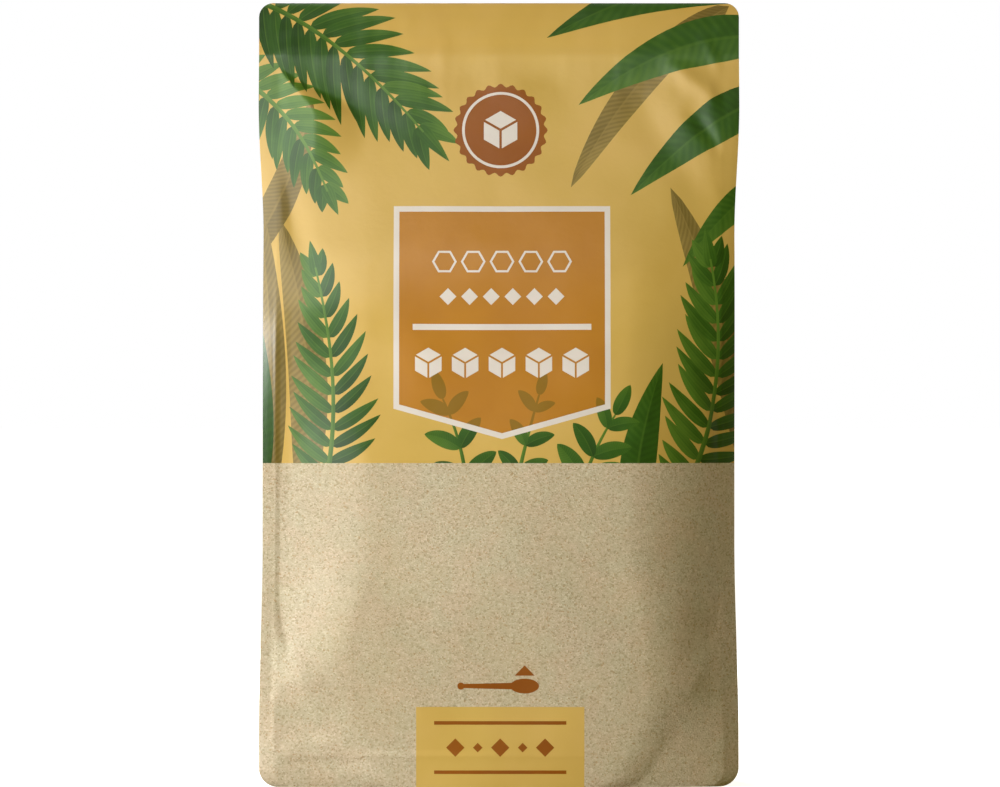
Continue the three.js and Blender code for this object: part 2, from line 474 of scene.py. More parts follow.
def sprig(start, bend, tip, leaf, count, seed, tone=0.5):
    """A stem with pairs of broad leaves and one more at its end."""
    rng = np.random.default_rng(seed)
    t = (np.arange(count) + 0.55) / count
    line = bezier(start, bend, tip, t)
    along = heading(line)
    shapes = [stem(start, bend, tip, SPRIG_WIDTHS, tone + 0.2)]

    def leaf_to(place, middle, end, length, shade, base):
        return blade("broad", place, middle, end, length * SPRIG_RATIO, shade, base, 0.75)

    for i in range(count):
        for side in (-1, 1):
            length = leaf * lerp(1, 0.62, t[i]) * rng.uniform(0.9, 1.1)
            angle = side * rng.uniform(*SPRIG_SPREAD)
            end = line[i] + turned(along[i], angle) * length
            middle = line[i] + turned(along[i], angle - side * SPRIG_BOW) * length * 0.5
            shade = tone + rng.uniform(-0.25, 0.25)
            shapes.append(leaf_to(line[i], middle, end, length, shade, 0.6))
    length = leaf * SPRIG_LAST
    end = tip + along[-1] * length
    shapes.append(leaf_to(tip, (tip + end) / 2, end, length, tone, 0.55))
    return shapes


def bar(ink, middle, half, low, high):
    left, right = middle - half, middle + half
    return Shape(ink, [(left, low), (right, low), (right, high), (left, high)])


def rounded(ink, left, bottom, right, top, radius):
    """A rectangle with round corners."""
    corners = [(right, top), (left, top), (left, bottom), (right, bottom)]
    points = []
    for quarter, (x, y) in enumerate(corners):
        cx = x - math.copysign(radius, x - (left + right) / 2)
        cy = y - math.copysign(radius, y - (bottom + top) / 2)
        for a in np.linspace(quarter, quarter + 1, 7) * math.pi / 2:
            points.append((cx + radius * math.cos(a), cy + radius * math.sin(a)))
    return Shape(ink, points)


def round_shape(ink, centre, radius, points=48, squash=1.0, wave=0.0, lobes=0):
    """A circle or ellipse, a polygon where it has few points, or a scalloped disc."""
    a = np.linspace(0, math.tau, points, endpoint=False)
    r = radius + wave * np.cos(lobes * a)
    return Shape(ink, np.stack([centre[0] + r * np.cos(a), centre[1] + squash * r * np.sin(a)], 1))


def shield(ink, centre, half, top, side_end, apex):
    """A panel that ends in a point at its foot."""
    left, right = centre - half, centre + half
    corners = [(left, top), (left, side_end), (centre, apex), (right, side_end), (right, top)]
    return Shape(ink, corners)


def cube(ink, centre, edge, gap):
    """A sugar cube seen from a corner: three rhombs with thin gaps between them."""
    shapes = []
    for turn in (30, 150, 270):
        a, far, b = (turned((edge, 0), turn + more) for more in (0, 60, 120))
        corners = np.array([np.zeros(2), a, far, b])
        middle = corners.mean(axis=0)
        shrunk = middle + (corners - middle) * (1 - gap / edge)
        shapes.append(Shape(ink, shrunk + np.asarray(centre, float)))
    return shapes


def row(middle, level, pitch, count):
    """Centres of a row of marks."""
    return [(middle + (i - (count - 1) / 2) * pitch, level) for i in range(count)]


# ---- Layout of the printed panels ----

LABEL_MIDDLE = 0.75
LABEL_HALF = 27.1
LABEL_TOP = 145.2
LABEL_SIDE_END = 94.6
LABEL_APEX = 87
LABEL_BORDER = 1.4
RULE_HALF = 22.3
RULE_LEVELS = (114.25, 115.75)  # its lower and its upper edge
CRYSTALS = (131.3, 7.2, 5)  # level, pitch and count of a row
CRYSTAL_RADII = (3.1, 2.5)  # outside and inside its white line
DIAMONDS = (122.6, 5.4, 6)
DIAMOND_RADIUS = 2.1
CUBES = (106, 9.2, 5)
CUBE_SIZES = (4.1, 0.55)  # edge and gap

BADGE = (0.4, 164.5)
BADGE_RADIUS = 11.4
BADGE_RIM = 1.7  # from its edge in to the white ring
BADGE_RING = 0.7  # width of that ring
BADGE_CUBE = (5.2, 0.7)

TAG_MIDDLE = 0.3
TAG_HALF = 21
TAG_TOP = 20.2
TAG_BOTTOM = -1  # just past the bottom edge, so that no sugar shows under it
TAG_RULES = (16.2, 3.9)
TAG_RULE_HALF = 16.5
TAG_RULE_RISE = 0.45
TAG_PITCH = 5.6
TAG_DIAMONDS = (2.3, 1.2)  # large and small, by turns

SPOON_LEVEL = 25.4
SPOON_ENDS = (-9.5, 10)
SPOON_BOWL = 3.6
SPOON_SQUASH = 0.52
HANDLE_HALVES = (0.5, 0.9)  # at its end and at the bowl
HEAP_HALF = 0.7  # of the bowl's radius
HEAP_FOOT = 2.6  # levels above the spoon
HEAP_TOP = 5.2

BACK_LABEL = (-27, 98, 27, 150)
BACK_INSIDE = (-25.8, 99.2, 25.8, 148.8)
BACK_RADII = (3.2, 2.2)
BACK_RULES = (141, 106)
BACK_RULE_HALF = 21
BACK_RULE_HEIGHT = 1.2
BACK_CUBES = (124, 11, 3)
BACK_CUBE_SIZES = (5, 0.6)


def main_label():
    """The orange panel with its white border, rule and rows of crystals and cubes."""
    slope = (LABEL_SIDE_END - LABEL_APEX) / LABEL_HALF
    inner = LABEL_HALF - LABEL_BORDER
    apex = LABEL_APEX + LABEL_BORDER * math.hypot(1, slope)
    shapes = [
        shield("white", LABEL_MIDDLE, LABEL_HALF, LABEL_TOP, LABEL_SIDE_END, LABEL_APEX),
        shield("orange", LABEL_MIDDLE, inner, LABEL_TOP - LABEL_BORDER, apex + slope * inner, apex),
        bar("white", LABEL_MIDDLE, RULE_HALF, *RULE_LEVELS),
    ]
    outside, inside = CRYSTAL_RADII
    for centre in row(LABEL_MIDDLE, *CRYSTALS):
        shapes.append(round_shape("white", centre, outside, points=6))
        shapes.append(round_shape("orange", centre, inside, points=6))
    for centre in row(LABEL_MIDDLE, *DIAMONDS):
        shapes.append(round_shape("white", centre, DIAMOND_RADIUS, points=4))
    for centre in row(LABEL_MIDDLE, *CUBES):
        shapes += cube("white", centre, *CUBE_SIZES)
    return shapes


def badge():
    """A scalloped seal with a cube in it."""
    ring = BADGE_RADIUS - BADGE_RIM
    return [
        round_shape("rust", BADGE, BADGE_RADIUS, points=144, wave=0.45, lobes=24),
        round_shape("white", BADGE, ring, points=72),
        round_shape("rust", BADGE, ring - BADGE_RING, points=72),
        *cube("white", BADGE, *BADGE_CUBE),
    ]


def tag():
    """The small yellow field at the foot, with two rules and a row of diamonds."""
    shapes = [bar("gold", TAG_MIDDLE, TAG_HALF, TAG_BOTTOM, TAG_TOP)]
    for level in TAG_RULES:
        low, high = level - TAG_RULE_RISE, level + TAG_RULE_RISE
        shapes.append(bar("rust", TAG_MIDDLE, TAG_RULE_HALF, low, high))
    for i, centre in enumerate(row(TAG_MIDDLE, sum(TAG_RULES) / 2, TAG_PITCH, 5)):
        shapes.append(round_shape("rust", centre, TAG_DIAMONDS[i % 2], points=4))
    return shapes


def spoon():
    """A spoon that lies level, with a small heap of sugar above its bowl."""
    left, right = SPOON_ENDS
    centre = right - SPOON_BOWL
    level = SPOON_LEVEL
    narrow, wide = HANDLE_HALVES
    handle = [(left, level - narrow), (centre, level - wide)]
    handle += [(centre, level + wide), (left, level + narrow)]
    reach, foot = SPOON_BOWL * HEAP_HALF, level + HEAP_FOOT
    heap = [(centre - reach, foot), (centre + reach, foot), (centre, level + HEAP_TOP)]
    return [
        round_shape("rust", (centre, level), SPOON_BOWL, squash=SPOON_SQUASH),
        Shape("rust", handle),
        round_shape("rust", (left, level), wide, points=20),
        Shape("rust", heap),
    ]


def dry_leaf(*form):
    return blade("olive", *form, point=0.7)


def broad_leaf(*form):
    return blade("broad", *form, base=0.45)


def front_leaves():
    """Fronds, banana-like leaves and sprigs round the label."""
    shapes = [
        dry_leaf((66, 74), (60, 112), (43, 150), 10, 0.4),
        dry_leaf((-50, 72), (-44, 104), (-55, 142), 10, 0.5),
        dry_leaf((-68, 128), (-52, 146), (-47, 172), 8, 0.4),
        dry_leaf((-60, 68), (-55, 104), (-61, 148), 8, 0.45),
        dry_leaf((58, 196), (36, 184), (18, 150), 8, 0.5),
    ]
    shapes += frond((-68, 179), (-53, 173), (-43, 149), 13, 11, 17, width=3.3, tone=0.6)
    shapes += frond((-67, 199), (-44, 194), (-19, 164), 20, 16, 11, width=3.7, tone=0.42)
    shapes += [
        broad_leaf((69, 201), (46, 207), (12, 188), 12, 0.3),
        broad_leaf((69, 188), (46, 191), (20, 171), 12, 0.58),
        broad_leaf((69, 173), (54, 170), (33, 148), 11, 0.4),
        broad_leaf((70, 150), (60, 150), (46, 130), 8, 0.6),
    ]
    shapes += frond((46, 72), (60, 98), (53, 132), 16, 14, 12, width=3.5)
    shapes += frond((-46, 68), (-37, 92), (-46, 130), 14, 14, 13, tone=0.45)
    shapes += [
        broad_leaf((-66, 70), (-62, 90), (-61, 118), 12, 0.3),
        broad_leaf((34, 70), (34, 86), (41, 106), 9, 0.35),
    ]
    shapes += sprig((20, 72), (22, 82), (29, 93), 12, 3, 14, tone=0.55)
    shapes += sprig((-8, 72), (-8, 84), (-14, 97), 11, 3, 15, tone=0.45)
    shapes += sprig((4, 74), (6, 84), (10, 98), 9, 3, 16, tone=0.6)
    return shapes


def back_leaves():
    shapes = [
        dry_leaf((66, 76), (58, 112), (42, 142), 9, 0.4),
        dry_leaf((-48, 76), (-46, 104), (-56, 138), 9, 0.5),
    ]
    shapes += frond((-67, 194), (-44, 188), (-20, 166), 18, 15, 21, tone=0.45)
    shapes += [
        broad_leaf((68, 194), (46, 200), (18, 184), 14, 0.4),
        broad_leaf((68, 180), (50, 180), (28, 164), 13, 0.6),
    ]
    shapes += frond((48, 74), (60, 100), (52, 134), 15, 13, 22)
    shapes += frond((-46, 70), (-38, 100), (-46, 142), 15, 15, 23, tone=0.45)
    shapes += sprig((20, 74), (20, 84), (26, 95), 11, 3, 24)
    shapes += sprig((-6, 74), (-8, 84), (-12, 98), 11, 3, 25, tone=0.4)
    return shapes


def back_label():
    """A plain panel with a rule at its head and foot, and three cubes."""
    outside, inside = BACK_RADII
    shapes = [rounded("white", *BACK_LABEL, outside), rounded("orange", *BACK_INSIDE, inside)]
    for low in BACK_RULES:
        shapes.append(bar("white", 0, BACK_RULE_HALF, low, low + BACK_RULE_HEIGHT))
    for centre in row(0, *BACK_CUBES):
        shapes += cube("white", centre, *BACK_CUBE_SIZES)
    return shapes


def side_leaves(seed):
    shapes = [dry_leaf((-14, 74), (-10, 100), (-18, 132), 8, 0.5)]
    shapes += frond((8, 70), (2, 104), (9, 146), 13, 15, seed)
    shapes += frond((-26, 196), (-16, 186), (-5, 160), 12, 11, seed + 1, tone=0.4)
    shapes += sprig((-12, 74), (-13, 84), (-17, 96), 9, 3, seed + 2)
    return shapes


# ---- From flat print to a panel of the bag ----

LEAF_INKS = ("leaf", "broad", "olive")
MESH_STEP = 0.85  # spacing of the film's mesh
SEAL_INSETS = (0.9, 1.8, 2.6, 3.1, 3.5, 3.9, 4.4, 5.0)  # columns of points along an edge seal
FARTHEST = 80  # further than any panel's film reaches from its middle
SLOPE_STEP = 0.5  # distance either way over which a slope is measured
LEAF_LEAST = 0.05  # half width that a leaf is taken to have at least

BASE_STEP = 2.5  # spacing of the base's mesh
BASE_HOLLOW = 1.2  # the base lies this much higher inside its rim
BASE_RIM = 7  # width over which it rises
BASE_DENTS = 0.15


def divided(outline):
    """The same closed outline with no side longer than the mesh's spacing."""
    sides = np.roll(outline, -1, axis=0) - outline
    counts = np.maximum(np.ceil(np.linalg.norm(sides, axis=1) / MESH_STEP).astype(int), 1)
    pieces = [
        start + side * (np.arange(count) / count)[:, None]
        for start, side, count in zip(outline, sides, counts)
    ]
    return np.concatenate(pieces)


def panel_outline(path, low, high):
    """The edge of a stretch of film, once round, sampled alike on panels that meet."""
    corner = 1 - np.cos(np.linspace(0, math.pi / 2, 9))
    levels = [np.arange(low, high, MESH_STEP), [high]]
    if low <= 0:
        levels.append(FOOT_RADIUS * corner)
    if high >= HEIGHT:
        levels.append(HEIGHT - HEAD_RADIUS * corner)
    levels = np.unique(np.round(np.concatenate(levels), 3))
    levels = levels[(levels >= low) & (levels <= high)]
    edge = half_span(path, levels)
    spans = []
    for level, reach in ((high, edge[-1]), (low, edge[0])):
        count = max(int(2 * reach / MESH_STEP), 2)
        s = np.linspace(reach, -reach, count + 1)
        spans.append(np.stack([s, np.full(len(s), level)], axis=1))
    top, bottom = spans
    right = np.stack([edge, levels], axis=1)
    left = np.stack([-edge, levels], axis=1)[::-1]
    return np.concatenate([right[:-1], top[:-1], left[:-1], bottom[::-1][:-1]])


def panel_grid(path, low, high):
    """Points inside a stretch of film: even rows, with columns that follow the edge seals."""
    rows = np.arange(low + MESH_STEP, high - MESH_STEP / 2, MESH_STEP * math.sqrt(0.75))
    insets = np.array(SEAL_INSETS if path is face_path else SEAL_INSETS[:1])
    points = []
    for i, (z, reach) in enumerate(zip(rows, half_span(path, rows))):
        s = np.arange(-FARTHEST, FARTHEST, MESH_STEP) + (MESH_STEP / 2 if i % 2 else 0)
        s = s[np.abs(s) < reach - insets[-1] - MESH_STEP * 0.6]
        s = np.concatenate([s, reach - insets, insets - reach])
        points.append(np.stack([s, np.full(len(s), z)], axis=1))
    return np.concatenate(points)


def leaf_place(shape, points):
    """Where points lie in a leaf: along it from 0 to 1, across it from -1 to 1, and its tone."""
    start, end = shape.line[:-1], shape.line[1:]
    step = end - start
    way = ((points[:, None] - start) * step).sum(2) / (step**2).sum(1)
    way = np.clip(way, 0, 1)
    off = points[:, None] - (start + step * way[:, :, None])
    near = np.argmin((off**2).sum(2), axis=1)
    nth = np.arange(len(points))
    along = (near + way[nth, near]) / len(step)
    cross = step[near, 0] * off[nth, near, 1] - step[near, 1] * off[nth, near, 0]
    cross /= np.linalg.norm(step[near], axis=1)
    half = np.interp(along, np.linspace(0, 1, len(shape.half)), shape.half)
    across = np.clip(cross / np.maximum(half, LEAF_LEAST), -1, 1)
    return np.stack([along, across, np.full(len(points), shape.tone)], axis=1)


def unit(vectors):
    return vectors / np.maximum(np.linalg.norm(vectors, axis=1), 1e-9)[:, None]


def rotated(points, degrees):
    """From panel axes (across, outward, up) to the row frame, for a panel turned about Z."""
    a = math.radians(degrees)
    across, out, up = points.T
    x = across * math.cos(a) + out * math.sin(a)
    y = across * math.sin(a) - out * math.cos(a)
    return np.stack([x, y, up], axis=1)


def skewed(points):
    """The full part of the bag is a little out of square."""
    x, y, z = points.T
    shift = SKEW * np.sign(x) * np.abs(x / (WIDTH_FOOT / 2)) ** SKEW_POWER
    held = lerp(SKEW_FOOT, 1, smooth(z, 0, SKEW_FULL)) * (1 - smooth(z, SKEW_FROM, SKEW_TO))
    return np.stack([x, y + shift * held, z], axis=1)


def surface(panel, s, z):
    """Points of the film in the row frame and its outward normals."""
    path = panel["path"]

    def raised(ds, dz):
        at_s, at_z = s + ds, z + dz
        return relief(at_s, at_z, half_span(path, at_z), panel)

    def plain(ds, dz):
        return skewed(rotated(film_point(path, s + ds, z + dz), panel["turn"]))

    step = SLOPE_STEP
    along = plain(step, 0) - plain(-step, 0)
    up = plain(0, step) - plain(0, -step)
    normal = unit(np.cross(along, up))
    along = along + normal * (raised(step, 0) - raised(-step, 0))[:, None]
    up = up + normal * (raised(0, step) - raised(0, -step))[:, None]
    place = plain(0, 0) + normal * raised(0, 0)[:, None]
    return place * MM, unit(np.cross(along, up))


def triangulated(flat, loops):
    """Triangles inside the first loop of points: points, faces, and the loops round each face."""
    made = delaunay_2d_cdt([Vector(p) for p in flat], [], loops, 1, 1e-4, True)
    inside = [(tri, owners) for tri, owners in zip(made[2], made[5]) if 0 in owners]
    used = sorted({v for tri, _ in inside for v in tri})
    renumber = {v: i for i, v in enumerate(used)}
    points = np.array([tuple(made[0][v]) for v in used])
    faces = [[renumber[v] for v in tri] for tri, _ in inside]
    return points, faces, [owners for _, owners in inside]


def film_mesh(name, place, faces):
    mesh = bpy.data.meshes.new(name)
    mesh.from_pydata(place.tolist(), [], faces)
    mesh.polygons.foreach_set("use_smooth", [True] * len(faces))
    return mesh


def placed(name, data):
    """A new object in the scene."""
    thing = bpy.data.objects.new(name, data)
    bpy.context.scene.collection.objects.link(thing)
    return thing


def film_piece(name, mesh):
    """A piece of film that rides on the bag."""
    mesh.update()
    piece = placed(name, mesh)
    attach(piece, "root")
    return piece


def top_ink(owners, shapes, ground):
    """Ink of the topmost shape over a triangle. A leaf under the orange panel shows through."""
    above = [shapes[i - 1] for i in sorted(owners) if i > 0]
    if not above:
        return ground, None
    top = above[-1]
    if top.ink == "orange" and any(shape.ink in LEAF_INKS for shape in above[:-1]):
        return "shaded_orange", None
    return top.ink, top


def film_panel(name, panel, low, high, shapes, ground, slot):
    """A stretch of a panel's film, with its shapes printed over the ground's ink."""
    outline = panel_outline(panel["path"], low, high)
    parts = [outline, *[divided(shape.outline) for shape in shapes]]
    starts = np.cumsum([0] + [len(part) for part in parts])
    loops = [list(range(a, b)) for a, b in zip(starts[:-1], starts[1:])]
    flat = np.concatenate([*parts, panel_grid(panel["path"], low, high)])
    points, faces, owned = triangulated(flat, loops)
    place, normal = surface(panel, points[:, 0], points[:, 1])

    mesh = film_mesh(name, place, faces)
    worn, slots, by_leaf = [], [], {}
    for i, owners in enumerate(owned):
        ink, shape = top_ink(owners, shapes, ground)
        if ink not in worn:
            worn.append(ink)
            mesh.materials.append(MATERIALS[ink])
        slots.append(worn.index(ink))
        if ink in LEAF_INKS:
            by_leaf.setdefault(id(shape), (shape, []))[1].append(i)
    mesh.polygons.foreach_set("material_index", slots)
    corners = np.zeros((len(faces), 3, 3))
    for shape, members in by_leaf.values():
        at = points[np.array([faces[i] for i in members]).ravel()]
        corners[members] = leaf_place(shape, at).reshape(-1, 3, 3)
    leaf = mesh.attributes.new("leaf", "FLOAT_VECTOR", "CORNER")
    leaf.data.foreach_set("vector", corners.ravel())
    mesh.normals_split_custom_set_from_vertices(normal.tolist())
    return film_piece(name, mesh)


def base_panel(name):
    """The bottom film, a little hollow inside the rim that the bag stands on."""
    rim = []
    for panel in PANELS.values():
        reach = half_span(panel["path"], np.zeros(1))[0]
        count = max(int(2 * reach / MESH_STEP), 2)
        s = np.linspace(-reach, reach, count + 1)[:-1]
        place, _ = surface(panel, s, np.zeros(len(s)))
        rim.append(place[:, :2] / MM)
    rim = np.concatenate(rim)
    xs, ys = np.meshgrid(np.arange(-56, 57, BASE_STEP), np.arange(-32, 33, BASE_STEP))
    flat = np.concatenate([rim, np.stack([xs.ravel(), ys.ravel()], axis=1)])
    points, faces, _ = triangulated(flat, [list(range(len(rim)))])
    clear = np.min(np.hypot(*(points[:, None] - rim[None]).transpose(2, 0, 1)), axis=1)
    dents = BASE_DENTS * value_noise(points[:, 0], points[:, 1], 9, 5) * smooth(clear, 1, 5)
    hollow = BASE_HOLLOW * smooth(clear, 0, BASE_RIM) + dents
    place = np.concatenate([points, hollow[:, None]], axis=1) * MM
    mesh = film_mesh(name, place, [face[::-1] for face in faces])
    mesh.materials.append(MATERIALS["sugar"])
    return film_piece(name, mesh)


# ---- Materials ----


def srgb(red, green, blue):
    """A colour given as 0 to 255 screen values."""
    return (*[((c / 255 + 0.055) / 1.055) ** 2.4 for c in (red, green, blue)], 1.0)


class Nodes:
    """Short ways to add shader nodes to a material or to the world."""

    def __init__(self, owner, shader):
        owner.use_nodes = True
        self.owner = owner
        self.tree = owner.node_tree
        self.shader = self.tree.nodes[shader]
        coords = self.add("ShaderNodeTexCoord").outputs
        self.position, self.direction = coords["Object"], coords["Generated"]

    def put(self, node, inputs):
        """Links sockets to a node's inputs, and sets the inputs that get plain values."""
        for key, value in inputs.items():
            if isinstance(value, bpy.types.NodeSocket):
                self.tree.links.new(value, node.inputs[key])
            else:
                node.inputs[key].default_value = value

    def add(self, kind, inputs=None, **settings):
        node = self.tree.nodes.new(kind)
        for key, value in settings.items():
            setattr(node, key, value)
        self.put(node, inputs or {})
        return node

    def math(self, operation, a, b=0.0, c=0.0, clamp=False):
        node = self.add("ShaderNodeMath", {0: a, 1: b, 2: c}, operation=operation, use_clamp=clamp)
        return node.outputs[0]

    def noise(self, scale, detail, roughness, distortion=0.0):
        inputs = {"Vector": self.position, "Scale": scale, "Detail": detail}
        inputs |= {"Roughness": roughness, "Distortion": distortion}
        return self.add("ShaderNodeTexNoise", inputs).outputs["Fac"]

    def blend(self, factor, a, b, kind="MIX"):
        inputs = {0: factor, 6: a, 7: b}
        return self.add("ShaderNodeMix", inputs, data_type="RGBA", blend_type=kind).outputs[2]

    def range(self, value, low, high, to_low, to_high, **settings):
        inputs = {0: value, 1: low, 2: high, 3: to_low, 4: to_high}
        return self.add("ShaderNodeMapRange", inputs, **settings).outputs[0]

    def ramp(self, value, *stops):
        node = self.add("ShaderNodeValToRGB", {0: value})
        ramp = node.color_ramp
        while len(ramp.elements) < len(stops):
            ramp.elements.new(0.5)
        for element, (place, colour) in zip(ramp.elements, stops):
            element.position = place
            element.color = colour
        return node.outputs[0]

    def bump(self, height, strength, distance, normal=None):
        inputs = {"Height": height, "Strength": strength, "Distance": distance}
        if normal is not None:
            inputs["Normal"] = normal
        return self.add("ShaderNodeBump", inputs).outputs["Normal"]


def material(name):
    """A new material's nodes."""
    return Nodes(bpy.data.materials.new(name), "Principled BSDF")


WHITE = (1, 1, 1, 1)
# painted shade: a tint that darkens the ink of the top seal, and more so by its top edge
SEAL_SHADE_TINT = srgb(241, 236, 226)
SEAL_SHADE_SHARE = 0.6  # share of that tint in the top seal, painted shade
TOP_EDGE_SHADE_SHARE = 0.4  # and this much more painted shade by its top edge
GRAIN_SCALE = 2700  # sugar grains in a metre
AMBER_FROM = 0.965  # the share of grains under this stays pale


def film_finish(nodes, colour, normal=None, rough=0.34, coat=0.15, level=0.45):
    """The satin gloss of the film that every ink shares. Its top seal is a little darker, painted
    shade.
    """
    up = nodes.add("ShaderNodeSeparateXYZ", {0: nodes.position}).outputs["Z"]
    # painted shade: the top seal is darker than the film below it, and darker still towards its top
    # edge
    seal_shade = nodes.range(up, (SEAL_LEVEL - 1) * MM, (SEAL_LEVEL + 1) * MM, 0.0, SEAL_SHADE_SHARE)
    edge = nodes.range(up, (SEAL_LEVEL + 3) * MM, (HEIGHT - 1) * MM, 0.0, TOP_EDGE_SHADE_SHARE)
    colour = nodes.blend(nodes.math("ADD", seal_shade, edge), colour, SEAL_SHADE_TINT, "MULTIPLY")
    smears = nodes.noise(38, 4, 0.6, distortion=0.6)
    wrinkles = nodes.noise(210, 3, 0.55, distortion=0.4)
    skin = nodes.bump(nodes.noise(1400, 2, 0.5), 0.25, 0.00004, normal)
    inputs = {
        "Base Color": colour,
        "Roughness": nodes.range(smears, 0.3, 0.7, rough - 0.05, rough + 0.07),
        "Specular IOR Level": level,
        "IOR": 1.5,
        "Coat Weight": coat,
        "Coat Roughness": 0.2,
        "Normal": nodes.bump(wrinkles, 0.35, 0.0002, skin),
    }
    nodes.put(nodes.shader, inputs)
    return nodes.owner


def gold_ink():
    """The printed ground, with faint clouds, and paler patches here and there that are painted
    sheen.
    """
    nodes = material("gold_ink")
    clouds = nodes.range(nodes.noise(26, 4, 0.55, distortion=0.5), 0.35, 0.68, 0, 1)
    # painted sheen: paler, creamier patches here and there, like the reflection on a gently wavy
    # film
    pale_sheen_patches = nodes.range(nodes.noise(34, 3, 0.5), 0.45, 0.7, 0, 0.6)
    plain = nodes.blend(clouds, srgb(215, 180, 93), srgb(206, 169, 81))
    return film_finish(nodes, nodes.blend(pale_sheen_patches, plain, srgb(222, 184, 104)))


def leaf_ink(name, veins, strength, *greens):
    """Greens that run from a dark base to a light edge, with one half of the leaf lighter."""
    nodes = material(name)
    leaf = nodes.add("ShaderNodeAttribute", attribute_name="leaf", attribute_type="GEOMETRY")
    parts = nodes.add("ShaderNodeSeparateXYZ", {0: leaf.outputs["Vector"]})
    along, across, tone = parts.outputs
    half = nodes.range(across, -0.12, 0.12, -0.09, 0.09)
    edge = nodes.math("MULTIPLY", nodes.math("ABSOLUTE", across), 0.10)
    run = nodes.range(along, 0.0, 0.9, -0.16, 0.12)
    paint = nodes.range(nodes.noise(120, 3, 0.6), 0.3, 0.7, -0.12, 0.12)
    lines = nodes.math("MULTIPLY", veins(nodes, along, across), strength)
    level = nodes.math("ADD", nodes.math("ADD", tone, half), nodes.math("ADD", edge, run))
    level = nodes.math("ADD", nodes.math("ADD", level, paint), lines, clamp=True)
    ribbed = nodes.range(nodes.math("ABSOLUTE", across), 0.03, 0.10, 0.4, 0.0)
    dark, middle, light = (srgb(*green) for green in greens)
    colour = nodes.ramp(level, (0.0, dark), (0.5, middle), (1.0, light))
    return film_finish(nodes, nodes.blend(ribbed, colour, light))


def fine_lines(nodes, along, across):
    """A few fine lines along a slim leaf."""
    return nodes.math("SINE", nodes.math("MULTIPLY", across, 15.0))


def slanted_veins(nodes, along, across):
    """Veins that slant out from the middle rib of a broad leaf."""
    slant = nodes.math("MULTIPLY", nodes.math("ABSOLUTE", across), -9.0)
    return nodes.math("SINE", nodes.math("MULTIPLY_ADD", along, 130.0, slant))


def hatching(nodes, along, across):
    """Close slanted lines on a dry leaf that lies behind the green ones."""
    slant = nodes.math("MULTIPLY", across, 14.0)
    return nodes.math("SINE", nodes.math("MULTIPLY_ADD", along, 260.0, slant))


def flat_ink(name, light, dark):
    """An even ink with the slight unevenness of print on film."""
    nodes = material(name)
    patches = nodes.range(nodes.noise(60, 3, 0.5), 0.35, 0.65, 0, 1)
    return film_finish(nodes, nodes.blend(patches, srgb(*light), srgb(*dark)))


def sugar_under_film():
    """Fine moist sugar pressed against clear film: pale, tan and a few amber grains."""
    nodes = material("sugar_under_film")
    inputs = {"Vector": nodes.position, "Scale": GRAIN_SCALE, "Randomness": 1.0}
    grains = nodes.add("ShaderNodeTexVoronoi", inputs)
    pick = nodes.add("ShaderNodeSeparateColor", {0: grains.outputs["Color"]})
    clumps = nodes.noise(800, 2, 0.5)
    shade = nodes.math("MULTIPLY_ADD", pick.outputs[0], 0.75, nodes.math("MULTIPLY", clumps, 0.25))
    colour = nodes.ramp(
        shade,
        (0.06, srgb(162, 146, 117)),
        (0.3, srgb(197, 183, 159)),
        (0.7, srgb(206, 193, 171)),
        (0.95, srgb(224, 213, 195)),
    )
    amber = nodes.math("GREATER_THAN", pick.outputs[1], AMBER_FROM)
    colour = nodes.blend(nodes.math("MULTIPLY", amber, 0.5), colour, srgb(168, 128, 76))
    hue = nodes.range(nodes.noise(150, 3, 0.55), 0.36, 0.64, 0, 1)
    patches = nodes.blend(hue, srgb(254, 247, 235), srgb(249, 250, 237))
    colour = nodes.blend(1.0, colour, patches, "MULTIPLY")
    damp = nodes.range(nodes.noise(46, 4, 0.6), 0.35, 0.7, 0.0, 0.2)
    colour = nodes.blend(damp, colour, srgb(196, 172, 122))
    pits = nodes.math("MULTIPLY", grains.outputs["Distance"], 420.0)
    grain = nodes.bump(pits, 0.14, 0.00012)
    return film_finish(nodes, colour, grain, rough=0.5, coat=0.05, level=0.3)


MATERIALS = {
    "gold": gold_ink(),
    "leaf": leaf_ink("leaf_ink", fine_lines, 0.06, (28, 64, 8), (52, 94, 20), (90, 128, 40)),
    "broad": leaf_ink("broad_ink", slanted_veins, 0.065, (26, 60, 8), (49, 91, 20), (84, 122, 38)),
    "olive": leaf_ink("olive_ink", hatching, 0.12, (98, 82, 26), (130, 110, 50), (164, 140, 72)),
    "white": flat_ink("white_ink", (231, 223, 215), (224, 215, 206)),
    "orange": flat_ink("orange_ink", (190, 129, 36), (183, 122, 31)),
    "shaded_orange": flat_ink("shaded_orange_ink", (148, 112, 24), (140, 103, 20)),
    "rust": flat_ink("rust_ink", (151, 84, 3), (143, 77, 2)),
    "sugar": sugar_under_film(),
}

# ---- The bag ----


FRONT = {
    "path": face_path,
    "turn": 0,  # degrees about the upright axis
    "seed": 101,
    "folds": FRONT_FOLDS,
    "patches": FRONT_PATCHES,
    "groove": SEAL_GROOVE,
    "upper": front_leaves() + main_label() + badge(),
    "lower": tag() + spoon(),
}
BACK = FRONT | {
    "turn": 180,
    "seed": 307,
    "folds": mirrored(FRONT_FOLDS),
    "patches": [],
    "upper": back_leaves() + back_label(),
    "lower": [],
}
RIGHT = BACK | {
    "path": side_path,
    "turn": 90,
    "seed": 211,
    "folds": SIDE_FOLDS,
    "groove": 0,
    "upper": side_leaves(31),
}
LEFT = RIGHT | {"turn": 270, "seed": 401, "folds": mirrored(SIDE_FOLDS), "upper": side_leaves(41)}
PANELS = {"front": FRONT, "right": RIGHT, "back": BACK, "left": LEFT}


